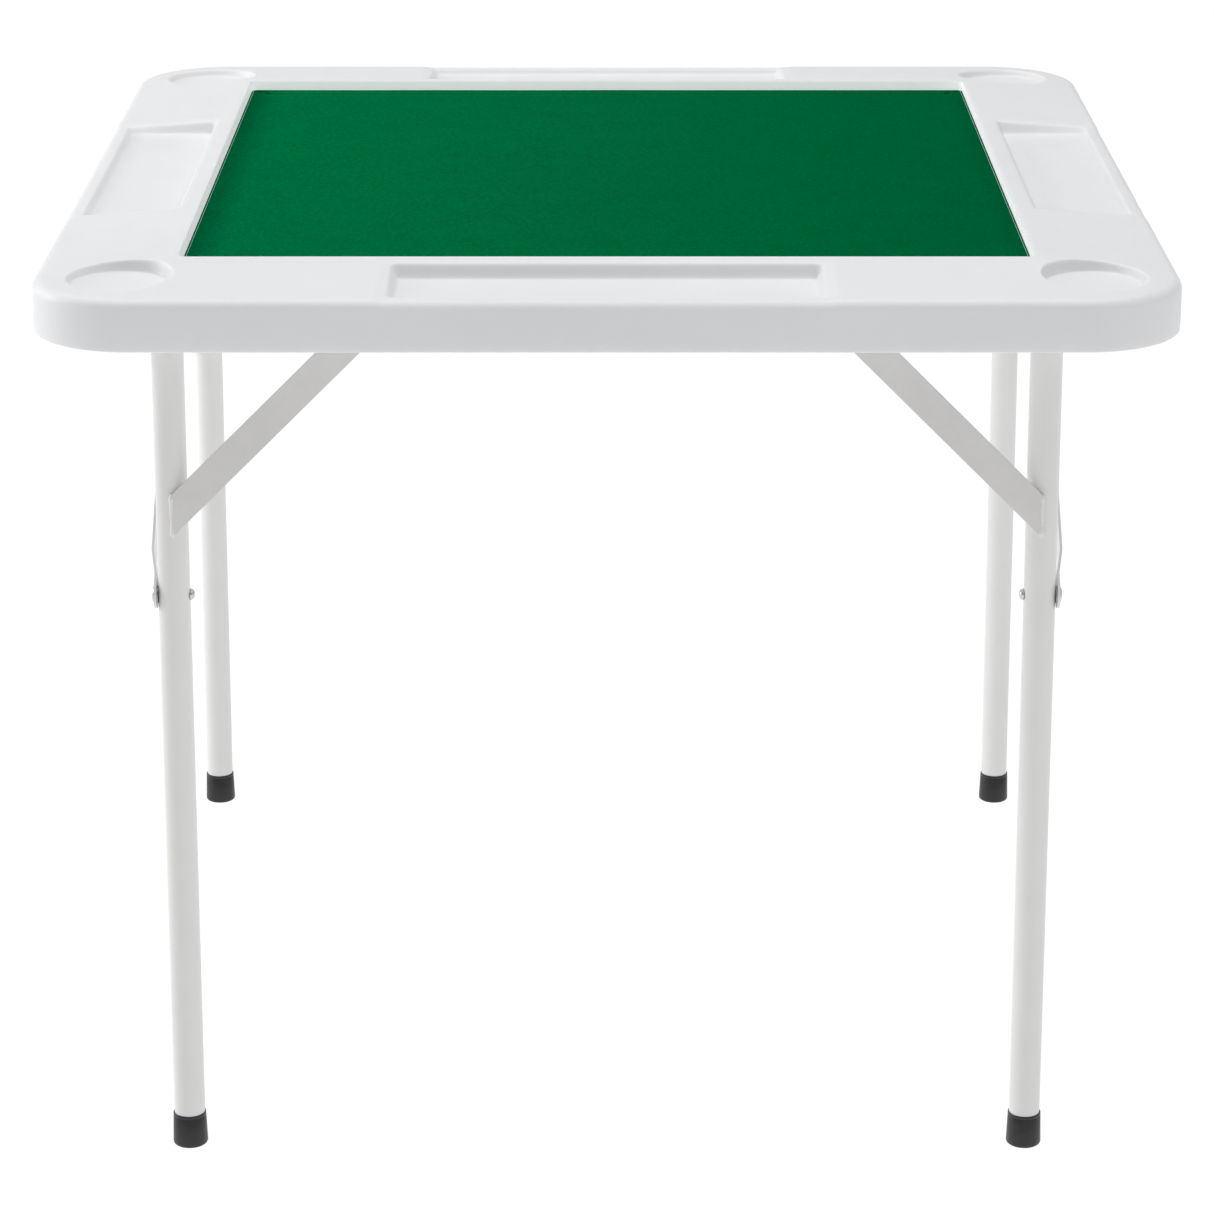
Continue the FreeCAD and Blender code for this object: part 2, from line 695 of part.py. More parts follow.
def make_leg(frame, side_name, side):
    """Leaning leg tube, coped to the crossbar at the top and drilled for the strut bolt."""
    name = f"{frame['name']}_{side_name}_leg_tube"
    y = frame["end"] * size_of("[hinge_reach]")
    axis_z = size_of(frame["axis"])
    floor_z = size_of("[cap_floor]")
    foot = placed(side * leg_offset(frame, floor_z), y, floor_z, -side * size_of("[leg_splay]"), (0, 1, 0))
    height = frame["axis"] + " - [cope_depth] - [cap_floor]"
    tube = cylinder(name + "_outside", "[tube_radius]", height, foot)
    bore = cylinder(name + "_bore", "[tube_radius] - [tube_wall]", height, foot)
    start_x = side * size_of(frame["reach"]) - size_of("2 * [tube_radius]")
    cope = cylinder(name + "_cope", "[tube_radius]", "4 * [tube_radius]", outward(1, start_x, y, axis_z))
    bolt_z = axis_z - size_of("[strut_drop]")
    drill = cylinder(name + "_drill", "[bolt_radius]", "4 * [tube_radius]", outward(1, start_x, y, bolt_z))
    keep(cut(name, tube, joined(name + "_cuts", [bore, cope, drill])), name)


def make_foot_cap(frame, side_name, side):
    """Black cup over the foot of the leg, a little wider at the floor, upright with a leaning bore."""
    name = f"{frame['name']}_{side_name}_foot_cap"
    body = doc.addObject("PartDesign::Body", name)
    profile = sketch_on(body, "XZ_Plane", name + "_profile")
    draw_polygon(profile, [
        ("0", "0"), ("[cap_base_radius] - [cap_edge]", "0"), ("[cap_base_radius]", "[cap_edge]"),
        ("[cap_top_radius]", "[cap_height]"), ("0", "[cap_height]"),
    ])
    turned = body.newObject("PartDesign::Revolution", name + "_turned")
    turned.Profile = profile
    turned.ReferenceAxis = (profile, ["V_Axis"])
    turned.Angle = 360.0
    body.Tip = turned
    middle = leg_offset(frame, size_of("[cap_height] / 2"))
    floor_z = size_of("[cap_floor]")
    bore = body.newObject("PartDesign::SubtractiveCylinder", name + "_bore")
    bind(bore, Radius="[tube_radius]", Height="2 * [cap_height]")
    bore.Placement = placed(side * (leg_offset(frame, floor_z) - middle), 0, floor_z,
                            -side * size_of("[leg_splay]"), (0, 1, 0))
    body.Tip = bore
    keep(body, name, placed(side * middle, frame["end"] * size_of("[hinge_reach]"), 0))


def make_brace(frame, side_name, side):
    """Flat diagonal bar on the outer face of the tubes, from the leg up to the crossbar at 45 degrees."""
    name = f"{frame['name']}_{side_name}_brace"
    body = doc.addObject("PartDesign::Body", name)
    outline = sketch_on(body, "XZ_Plane", name + "_outline")
    start, rise, tall = "[brace_end_offset]", "[brace_end_drop]", "sqrt(2) * [brace_width]"
    draw_polygon(outline, [
        (start, f"-({rise} + {tall})"), (f"{start} + {rise} + {tall}", "0"),
        (f"{start} + {rise}", "0"), (start, f"-({rise})"),
    ])
    pad(body, outline, "[brace_thickness]", both_ways=True)
    x = side * size_of(frame["reach"])
    y = frame["end"] * size_of("[hinge_reach] + [tube_radius] + [brace_thickness] / 2")
    turn = 180 if side > 0 else 0
    keep(body, name, placed(x, y, size_of(frame["axis"]), turn))


def make_leg_fasteners(frame):
    """Strut bolt, washer and cap nut of both legs of a frame."""
    y = frame["end"] * size_of("[hinge_reach]")
    z = size_of(frame["axis"] + " - [strut_drop]")
    head = "[strap_at_bolt] + [strap_sheet] + [pin_play]"
    tail = "-(2 * [tube_radius] + [nut_height] / 2)"
    nut = "-(2 * [tube_radius] + [seat_play] + [nut_height])"
    pieces = {
        "bolts": [
            ("[bolt_radius]", tail, f"{head} - ({tail})"),
            ("[bolt_head_radius]", head, "[bolt_head_height]"),
        ],
        "nuts": [("[nut_radius]", nut, "[nut_height]")],
        "washers": [("[washer_radius]", "[seat_play]", "[washer_thickness]")],
    }
    for kind, parts in pieces.items():
        label = f"{frame['name']}_leg_{kind}"
        group = doc.addObject("Part::Compound", label)
        studs = []
        for side_name, side in SIDES:
            tube_x = side * size_of(frame["reach"] + " + [tube_radius]")
            stud = make_stud(f"{label}_{side_name}", side, tube_x, y, z, parts)
            if kind != "bolts":
                stud = drill_for_bolt(f"{label}_{side_name}_drilled", stud, side, tube_x, y, z, tail)
            studs.append(stud)
        group.Links = studs
        keep(group, label)


def drill_for_bolt(name, stud, side, tube_x, y, z, tail):
    """Open a nut or a washer for the bolt's shank."""
    offset = tube_x + side * size_of(tail)
    length = f"[bolt_head_height] + [strap_sheet] - ({tail})"
    tool = cylinder(name + "_drill", "[bolt_radius]", length, outward(side, offset, y, z))
    return cut(name, stud, tool)


# ---- build ----

make_shell()
make_felt()
for end in FRAMES:
    gap_above = f"([pan_roof] - {end['axis']})"
    for label, sign in SIDES:
        place = placed(sign * size_of("[saddle_reach]"), end["end"] * size_of("[hinge_reach]"),
                       size_of(end["axis"]))
        make_hinge_bushing(f"{end['name']}_{label}_hinge_bushing", place, gap_above)
        make_hinge_saddle(f"{end['name']}_{label}_hinge_saddle", place, gap_above)
make_screw_group("hinge_saddle_screws", saddle_screw_places(), "[saddle_sheet]", "[saddle_screw_length]")
left_anchors, right_anchors = anchor_places()[0::2], anchor_places()[1::2]
for end, (x_left, anchor_y, pin_z), (x_right, _, _) in zip(FRAMES, left_anchors, right_anchors):
    gap_above = f"([pan_roof] - {end['axis']})"
    make_anchor(end["name"] + "_left_strut_anchor", placed(x_left, anchor_y, pin_z, 180), gap_above)
    make_anchor(end["name"] + "_right_strut_anchor", placed(x_right, anchor_y, pin_z), gap_above)
make_screw_group("strut_anchor_screws", anchor_screw_places(), "[anchor_sheet]", "[anchor_screw_length]")
make_anchor_pins()
for end in FRAMES:
    make_crossbar(end)
    make_leg_fasteners(end)
    for label, sign in SIDES:
        make_leg(end, label, sign)
        make_foot_cap(end, label, sign)
        make_brace(end, label, sign)
        make_strut(end, label, sign)
doc.recompute()

# ---- checks and files ----

for item in doc.Objects:
    if "Invalid" in item.State or "Error" in item.State:
        raise RuntimeError(f"{item.Name} failed: {item.State}")
os.makedirs("parts", exist_ok=True)
for node in NODES:
    if node.Shape.isNull() or not node.Shape.isValid():
        raise RuntimeError(f"{node.Label} has no valid shape")
for node in NODES:
    node.Shape.exportStep(f"parts/{node.Label}.step")
    print(node.Label, round(node.Shape.Volume / 1000, 2), "cm3")
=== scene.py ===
import json
import math

import bpy
import numpy as np
from mathutils import Matrix, Vector


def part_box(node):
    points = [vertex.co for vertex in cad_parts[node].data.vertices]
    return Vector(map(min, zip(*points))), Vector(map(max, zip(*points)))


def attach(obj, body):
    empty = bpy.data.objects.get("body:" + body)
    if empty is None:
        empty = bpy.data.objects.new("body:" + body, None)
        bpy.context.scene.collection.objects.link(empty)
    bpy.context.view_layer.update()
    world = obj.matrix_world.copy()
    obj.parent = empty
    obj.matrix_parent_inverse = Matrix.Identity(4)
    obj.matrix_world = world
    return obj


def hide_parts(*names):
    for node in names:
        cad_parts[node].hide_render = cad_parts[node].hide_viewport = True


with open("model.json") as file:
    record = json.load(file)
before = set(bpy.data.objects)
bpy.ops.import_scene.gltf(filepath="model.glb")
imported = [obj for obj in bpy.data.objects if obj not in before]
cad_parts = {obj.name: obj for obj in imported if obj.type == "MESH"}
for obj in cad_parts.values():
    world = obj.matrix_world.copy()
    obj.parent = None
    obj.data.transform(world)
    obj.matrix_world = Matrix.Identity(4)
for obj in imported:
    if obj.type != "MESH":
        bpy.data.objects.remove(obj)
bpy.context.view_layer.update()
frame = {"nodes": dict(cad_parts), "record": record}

RANDOM = np.random.default_rng(738)
MM = 0.001

# ---- sizes in millimetres, read from the frame where it has them ----

SHELL_LOW, SHELL_HIGH = (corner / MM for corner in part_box("tabletop_shell"))
FELT_LOW, FELT_HIGH = (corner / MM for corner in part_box("playing_felt"))
TOP_HALF = SHELL_HIGH.x
TOP_Z = SHELL_HIGH.z
SKIRT_Z = SHELL_LOW.z
OUTER_CORNER = 80.0
EDGE_ROUND = 8.0
LOWER_ROUND = 1.0
BORDER_START = 334.0
BORDER_FALL = 7.7
RECESS_HALF = 330.5
RECESS_CORNER = 6.0
RECESS_DRAFT = 0.4
RECESS_ROUND = 1.0
RECESS_FLOOR = FELT_LOW.z
FELT_HALF = FELT_HIGH.x
FELT_TOP = FELT_HIGH.z
CUP_CENTRE = 372.0
CUP_FLOOR = 727.0
CUP_INNER, CUP_OUTER = 37.2, 41.2
TRAY_FLOOR = 725.5
TRAY_END_INNER, TRAY_END_OUTER = 159.5, 167.0
TRAY_NEAR_OUTER, TRAY_NEAR_INNER = 346.6, 353.2
TRAY_FAR_INNER, TRAY_FAR_OUTER = 422.0, 427.0
RIM_DROP = 0.9
PAN_HALF = 418.0
PAN_CORNER = 60.0
PAN_ROOF = 721.0
PAN_ROUND = 5.0
DIMPLE_PITCH = 76.0
DIMPLE_COUNT = 9
TUBE_RADIUS = 12.5


# ---- mesh helpers ----

def smooth(value, low, high):
    """0 below low, 1 above high, and an S-curve between."""
    share = np.clip((value - low) / (high - low), 0.0, 1.0)
    return share * share * (3.0 - 2.0 * share)


def new_piece(name, points, faces, body, slot, materials, replaced=(), tones=None):
    """A smooth-shaded mesh piece from points in millimetres, riding on a CAD body."""
    mesh = bpy.data.meshes.new(name)
    mesh.from_pydata((np.asarray(points, float) * MM).tolist(), [], faces)
    mesh.polygons.foreach_set("use_smooth", [True] * len(mesh.polygons))
    for material in materials:
        mesh.materials.append(material)
    if tones is not None:
        mesh.polygons.foreach_set("material_index", tones)
    mesh.update()
    piece = bpy.data.objects.new(name, mesh)
    bpy.context.scene.collection.objects.link(piece)
    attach(piece, body)
    if replaced:
        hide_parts(*replaced)
    return piece


def ring_faces(start, count, width):
    """Quads between rings of points, each ring of the same width, laid out one after another."""
    faces = []
    for ring in range(count - 1):
        low, high = start + ring * width, start + (ring + 1) * width
        for step in range(width):
            following = (step + 1) % width
            faces.append((low + step, high + step, high + following, low + following))
    return faces


def zip_faces(outer, outer_start, inner, inner_start):
    """Triangles that join two rings with different numbers of points, matched by their angles."""
    def turns(ring):
        angles = np.arctan2(ring[:, 1], ring[:, 0]) % (2 * math.pi)
        angles[0] = 0.0
        return np.append(angles, 2 * math.pi)

    outer_turn, inner_turn = turns(outer), turns(inner)
    faces = []
    step_out = step_in = 0
    while step_out < len(outer) or step_in < len(inner):
        a = outer_start + step_out % len(outer)
        b = inner_start + step_in % len(inner)
        go_out = step_in == len(inner) or (
            step_out < len(outer) and outer_turn[step_out + 1] <= inner_turn[step_in + 1]
        )
        if go_out:
            step_out += 1
            faces.append((a, b, outer_start + step_out % len(outer)))
        else:
            step_in += 1
            faces.append((a, b, inner_start + step_in % len(inner)))
    return faces


def rounded_square(half, radius, side_steps, corner_shares):
    """A closed outline, counterclockwise from the middle of the +X side, as an array of x and y.

    side_steps run from the middle of a side towards its corner, and corner_shares divide
    the rest of the way round the corner by length."""
    start = side_steps[-1]
    straight = half - radius - start
    around = radius * math.pi / 2
    quarter = [(half, y) for y in side_steps]
    for share in corner_shares:
        run = share * (2 * straight + around)
        if run <= straight:
            quarter.append((half, start + run))
        elif run >= straight + around:
            quarter.append((half - radius - (run - straight - around), half))
        else:
            turn = (run - straight) / radius
            centre = half - radius
            quarter.append((centre + radius * math.cos(turn), centre + radius * math.sin(turn)))
    quarter += [(x, half) for x in side_steps[:0:-1]]
    quarter = np.array(quarter)
    turns = [np.array([[c, s], [-s, c]]) for c, s in ((1, 0), (0, 1), (-1, 0), (0, -1))]
    return np.vstack([quarter @ turn for turn in turns])


def at_height(outline, z):
    """An outline's points with a height, which may differ from point to point."""
    return np.column_stack([outline, np.broadcast_to(z, len(outline))])


def lathe(profile, segments=32):
    """A turned shape about z from (radius, height) pairs. The first and last radius are 0."""
    angles = np.arange(segments) * 2 * math.pi / segments
    points = [(0.0, 0.0, profile[0][1])]
    for radius, height in profile[1:-1]:
        points += [(radius * math.cos(a), radius * math.sin(a), height) for a in angles]
    points.append((0.0, 0.0, profile[-1][1]))
    last = len(points) - 1
    faces = []
    for step in range(segments):
        following = (step + 1) % segments
        faces.append((0, 1 + following, 1 + step))
        faces.append((last, last - segments + step, last - segments + following))
    for ring in range(len(profile) - 3):
        low, high = 1 + ring * segments, 1 + (ring + 1) * segments
        for step in range(segments):
            following = (step + 1) % segments
            faces.append((low + step, low + following, high + following, high + step))
    return np.array(points), faces


def placed(shape, matrix):
    """A shape's points moved by a 4 by 4 matrix, with its faces kept facing outwards."""
    points, faces = shape
    matrix = np.array(matrix)
    moved = points @ matrix[:3, :3].T + matrix[:3, 3]
    if np.linalg.det(matrix[:3, :3]) < 0:
        faces = [tuple(reversed(face)) for face in faces]
    return moved, faces


def joined(shapes):
    """Several shapes as one list of points and one list of faces."""
    points, faces, count = [], [], 0
    for shape_points, shape_faces in shapes:
        points.append(shape_points)
        faces += [tuple(index + count for index in face) for face in shape_faces]
        count += len(shape_points)
    return np.vstack(points), faces


def outward(side, x, y, z):
    """Turns a shape's z axis outwards along X, to the given side."""
    return Matrix.Translation((x, y, z)) @ Matrix.Rotation(side * math.pi / 2, 4, "Y")


# ---- materials ----

class Nodes:
    """A material's node tree, with short ways to add the nodes that every finish here uses."""

    def __init__(self, name, metallic=0.0):
        self.material = bpy.data.materials.new(name)
        self.material.use_nodes = True
        self.tree = self.material.node_tree
        self.shader = self.tree.nodes["Principled BSDF"]
        self.shader.inputs["Metallic"].default_value = metallic
        self.place = self.tree.nodes.new("ShaderNodeTexCoord").outputs["Object"]

    def add(self, kind, **values):
        node = self.tree.nodes.new(kind)
        for name, value in values.items():
            setattr(node, name, value)
        return node

    def feed(self, socket, value):
        if isinstance(value, bpy.types.NodeSocket):
            self.tree.links.new(value, socket)
        else:
            socket.default_value = value

    def noise(self, scale, detail=3.0, roughness=0.55, stretch=(1.0, 1.0, 1.0)):
        """A noise value, about 0 to 1 with a middle of 0.5. scale is in waves to the metre."""
        mapping = self.add("ShaderNodeMapping")
        self.feed(mapping.inputs["Vector"], self.place)
        mapping.inputs["Scale"].default_value = stretch
        node = self.add("ShaderNodeTexNoise")
        self.feed(node.inputs["Vector"], mapping.outputs["Vector"])
        node.inputs["Scale"].default_value = scale
        node.inputs["Detail"].default_value = detail
        node.inputs["Roughness"].default_value = roughness
        return node.outputs["Fac"]

    def span(self, value, low, high, start=0.3, end=0.7):
        """A value mapped from start..end to low..high, and held at those."""
        node = self.add("ShaderNodeMapRange")
        self.feed(node.inputs["Value"], value)
        for name, number in (("From Min", start), ("From Max", end), ("To Min", low), ("To Max", high)):
            node.inputs[name].default_value = number
        return node.outputs["Result"]

    def math(self, operation, first, second):
        node = self.add("ShaderNodeMath", operation=operation)
        self.feed(node.inputs[0], first)
        self.feed(node.inputs[1], second)
        return node.outputs[0]

    def mix(self, share, first, second):
        """A colour between two others."""
        node = self.add("ShaderNodeMix", data_type="RGBA")
        self.feed(node.inputs["Factor"], share)
        self.feed(node.inputs["A"], first)
        self.feed(node.inputs["B"], second)
        return node.outputs["Result"]

    def axis(self, name):
        node = self.add("ShaderNodeSeparateXYZ")
        self.feed(node.inputs["Vector"], self.place)
        return node.outputs[name]

    def bump(self, height, depth_mm, under=None):
        """Relief of a depth in millimetres, on top of another relief if one is given."""
        node = self.add("ShaderNodeBump")
        node.inputs["Strength"].default_value = 1.0
        node.inputs["Distance"].default_value = depth_mm * MM
        self.feed(node.inputs["Height"], height)
        if under is not None:
            self.feed(node.inputs["Normal"], under)
        return node.outputs["Normal"]

    def finish(self, colour, roughness, normal, **constants):
        self.feed(self.shader.inputs["Base Color"], colour)
        self.feed(self.shader.inputs["Roughness"], roughness)
        self.feed(self.shader.inputs["Normal"], normal)
        for name, value in constants.items():
            self.shader.inputs[name.replace("_", " ")].default_value = value
        return self.material


def moulded_white():
    """Blow-moulded polyethylene: satin white with a fine skin, faint flow bands and scuffs."""
    m = Nodes("white_hdpe")
    flow = m.noise(6.0, 2.0, stretch=(1.0, 1.0, 3.0))
    cloud = m.noise(45.0, 3.0)
    skin = m.noise(900.0, 2.0)
    pebble = m.noise(330.0, 2.0)
    scuff = m.span(m.noise(120.0, 6.0, 0.7, stretch=(1.0, 4.0, 1.0)), 0.0, 1.0, 0.66, 0.80)
    colour = m.mix(m.span(flow, 0.0, 1.0), (0.775, 0.785, 0.80, 1), (0.80, 0.808, 0.818, 1))
    colour = m.mix(m.span(cloud, 0.0, 0.35), colour, (0.77, 0.78, 0.797, 1))
    colour = m.mix(m.math("MULTIPLY", scuff, 0.15), colour, (0.70, 0.705, 0.715, 1))
    rough = m.math("ADD", m.span(cloud, 0.40, 0.50), m.math("MULTIPLY", scuff, 0.10))
    relief = m.bump(m.math("ADD", m.math("MULTIPLY", skin, 0.4), pebble), 0.05)
    return m.finish(colour, rough, relief, IOR=1.5, Specular_IOR_Level=0.45,
                    Subsurface_Weight=0.3, Subsurface_Scale=0.006, Subsurface_Radius=(1.0, 1.0, 1.0))


def recess_lip_painted_light():
    """The same plastic at the recess's upright lip, which lets light through; its paler colour and faint
    glow are painted light that brightens the shaded wall.
    """
    m = Nodes("white_hdpe_lip_painted_light")
    cloud = m.noise(45.0, 3.0)
    pebble = m.noise(330.0, 2.0)
    colour = m.mix(m.span(cloud, 0.0, 1.0), (0.90, 0.905, 0.915, 1), (0.93, 0.935, 0.94, 1))
    return m.finish(colour, m.span(cloud, 0.45, 0.55), m.bump(pebble, 0.04), IOR=1.5,
                    Specular_IOR_Level=0.4, Subsurface_Weight=0.3, Subsurface_Scale=0.006,
                    Subsurface_Radius=(1.0, 1.0, 1.0), Emission_Color=(0.96, 0.99, 1.0, 1),
                    Emission_Strength=0.25)


def green_felt():
    """Napped green felt: fine fibres, a mottled nap and a soft sheen, with painted shade that darkens it
    towards the right and along its left and right edges.
    """
    m = Nodes("green_felt")
    fibre = m.noise(900.0, 3.0, 0.75)
    tuft = m.noise(260.0, 2.0, 0.65)
    nap = m.noise(26.0, 4.0, 0.6)
    drift = m.noise(3.2, 1.5)
    # painted shade: the felt darkens from left to right, where the low light from the left falls less on
    # the nap
    right_side_painted_shade = m.span(m.axis("X"), 0.0, 0.55, -0.33, 0.33)
    deep, bright = (0.0, 0.062, 0.019, 1), (0.0, 0.235, 0.070, 1)
    colour = m.mix(m.span(fibre, 0.0, 1.0, 0.36, 0.64), deep, bright)
    colour = m.mix(m.span(tuft, 0.0, 0.75, 0.40, 0.62), colour, (0.0, 0.085, 0.026, 1))
    colour = m.mix(m.span(nap, 0.0, 0.40), colour, (0.0, 0.165, 0.052, 1))
    colour = m.mix(m.span(drift, 0.0, 0.20), colour, (0.0, 0.105, 0.031, 1))
    colour = m.mix(right_side_painted_shade, colour, (0.0, 0.055, 0.012, 1))
    # painted shadow: darker bands along the felt's left and right edges, where the recess walls shade it
    for start, end, share in ((-0.329, -0.300, 0.5), (0.329, 0.310, 0.35)):
        colour = m.mix(m.span(m.axis("X"), share, 0.0, start, end), colour, (0.0, 0.03, 0.010, 1))
    relief = m.bump(m.math("ADD", fibre, tuft), 0.35, m.bump(nap, 0.25))
    rough = m.span(tuft, 0.88, 1.0)
    return m.finish(colour, rough, relief, Specular_IOR_Level=0.0, Sheen_Weight=0.10,
                    Sheen_Roughness=0.45, Sheen_Tint=(0.0, 0.6, 0.3, 1))


def felt_edge_with_highlight():
    """The felt's cut edge: paler where the fibre ends stand up, and lighter still with a painted highlight
    where the edge catches the light.
    """
    m = Nodes("green_felt_edge_with_highlight")
    fibre = m.noise(1300.0, 3.0, 0.7)
    colour = m.mix(m.span(fibre, 0.0, 1.0), (0.10, 0.36, 0.22, 1), (0.24, 0.55, 0.38, 1))
    relief = m.bump(fibre, 0.3)
    return m.finish(colour, m.span(fibre, 0.85, 1.0), relief, Specular_IOR_Level=0.15,
                    Sheen_Weight=0.3, Sheen_Roughness=0.4, Sheen_Tint=(0.6, 1.0, 0.8, 1))


def felt_backing_painted_shade():
    """Dark rubbery backing that shows as a thin line round the felt; its near-black colour is painted
    shade for the shadowed gap between the felt and the recess wall.
    """
    m = Nodes("felt_backing_painted_shade")
    grain = m.noise(800.0, 3.0)
    colour = m.mix(m.span(grain, 0.0, 1.0), (0.004, 0.016, 0.010, 1), (0.012, 0.034, 0.022, 1))
    return m.finish(colour, m.span(grain, 0.7, 0.9), m.bump(grain, 0.1), Specular_IOR_Level=0.2)


def powder_coat():
    """White powder coat on steel: light orange peel, soft gloss, faint clouding."""
    m = Nodes("white_powder_coat")
    peel = m.noise(520.0, 1.5, 0.45)
    cloud = m.noise(28.0, 3.0)
    speck = m.span(m.noise(700.0, 2.0, 0.8), 0.0, 1.0, 0.72, 0.80)
    colour = m.mix(m.span(cloud, 0.0, 1.0), (0.80, 0.795, 0.785, 1), (0.815, 0.81, 0.80, 1))
    colour = m.mix(m.math("MULTIPLY", speck, 0.06), colour, (0.65, 0.65, 0.64, 1))
    rough = m.span(cloud, 0.32, 0.36)
    return m.finish(colour, rough, m.bump(peel, 0.03), IOR=1.5, Specular_IOR_Level=0.5)


def brace_coat():
    """The same coat on flat bar, which is hot-rolled and a little duller."""
    m = Nodes("white_powder_coat_bar")
    peel = m.noise(480.0, 1.5, 0.45)
    roll = m.noise(60.0, 3.0, 0.6)
    colour = m.mix(m.span(roll, 0.0, 1.0), (0.69, 0.682, 0.672, 1), (0.725, 0.717, 0.705, 1))
    relief = m.bump(peel, 0.05, m.bump(roll, 0.12))
    return m.finish(colour, m.span(roll, 0.34, 0.46), relief, IOR=1.5, Specular_IOR_Level=0.5)


def zinc_plate():
    """Bright zinc plating with fine brushed lines and faint stains."""
    m = Nodes("zinc_plate", metallic=1.0)
    brush = m.noise(700.0, 4.0, 0.7, stretch=(3.0, 1.0, 1.0))
    stain = m.noise(240.0, 3.0)
    colour = m.mix(m.span(stain, 0.0, 1.0), (0.50, 0.50, 0.51, 1), (0.72, 0.72, 0.73, 1))
    return m.finish(colour, m.span(brush, 0.22, 0.42), m.bump(brush, 0.02))


def nylon():
    """Natural nylon, slightly yellow and matt."""
    m = Nodes("natural_nylon")
    cloud = m.noise(90.0, 3.0)
    grain = m.noise(850.0, 2.0)
    colour = m.mix(m.span(cloud, 0.0, 1.0), (0.72, 0.71, 0.66, 1), (0.78, 0.77, 0.73, 1))
    return m.finish(colour, m.span(cloud, 0.42, 0.55), m.bump(grain, 0.04), IOR=1.53)


def black_moulding(name, dark, light, rough_low, rough_high, grain_mm):
    """Black moulded plastic or rubber with a fine grain and a dusty cast."""
    m = Nodes(name)
    grain = m.noise(1100.0, 3.0, 0.6)
    dust = m.noise(150.0, 4.0, 0.6)
    colour = m.mix(m.span(dust, 0.0, 1.0), dark, light)
    rough = m.span(dust, rough_low, rough_high)
    return m.finish(colour, rough, m.bump(grain, grain_mm), Specular_IOR_Level=0.5)


MATERIALS = {
    "white_hdpe": moulded_white(),
    "green_felt": green_felt(),
    "white_steel": powder_coat(),
    "nylon": nylon(),
    "zinc_fastener": zinc_plate(),
    "black_plastic": black_moulding(
        "black_plastic", (0.012, 0.012, 0.013, 1), (0.022, 0.022, 0.024, 1), 0.32, 0.42, 0.03
    ),
    "black_rubber": black_moulding(
        "black_rubber", (0.010, 0.010, 0.011, 1), (0.020, 0.020, 0.021, 1), 0.34, 0.46, 0.05
    ),
}
BAR_COAT = brace_coat()


# ---- the top ----

def border_height(points, fall):
    """Height of the border's upper face: its slope, the cup holders, the trays and their dip."""
    x, y = np.abs(points[:, 0]), np.abs(points[:, 1])
    across, along = np.maximum(x, y), np.minimum(x, y)
    beside = 1 - smooth(along, TRAY_END_OUTER - 1, TRAY_END_OUTER + 9)
    base = TOP_Z - fall - RIM_DROP * beside * smooth(across, TRAY_NEAR_OUTER - 4, TRAY_NEAR_OUTER + 4)
    in_tray = (
        (1 - smooth(along, TRAY_END_INNER, TRAY_END_OUTER))
        * smooth(across, TRAY_NEAR_OUTER, TRAY_NEAR_INNER)
        * (1 - smooth(across, TRAY_FAR_INNER, TRAY_FAR_OUTER))
    )
    in_cup = 1 - smooth(np.hypot(x - CUP_CENTRE, y - CUP_CENTRE), CUP_INNER, CUP_OUTER)
    base = base + (TRAY_FLOOR - base) * in_tray
    return base + (CUP_FLOOR - base) * in_cup


def border_lines():
    """Where the border's lines leave the middle of a side, close together at the trays' ends."""
    corner = RECESS_HALF - RECESS_CORNER
    return np.concatenate([
        np.linspace(0.0, 150.0, 12, endpoint=False),
        np.linspace(150.0, 180.0, 34, endpoint=False),
        np.linspace(180.0, corner, 14),
    ])


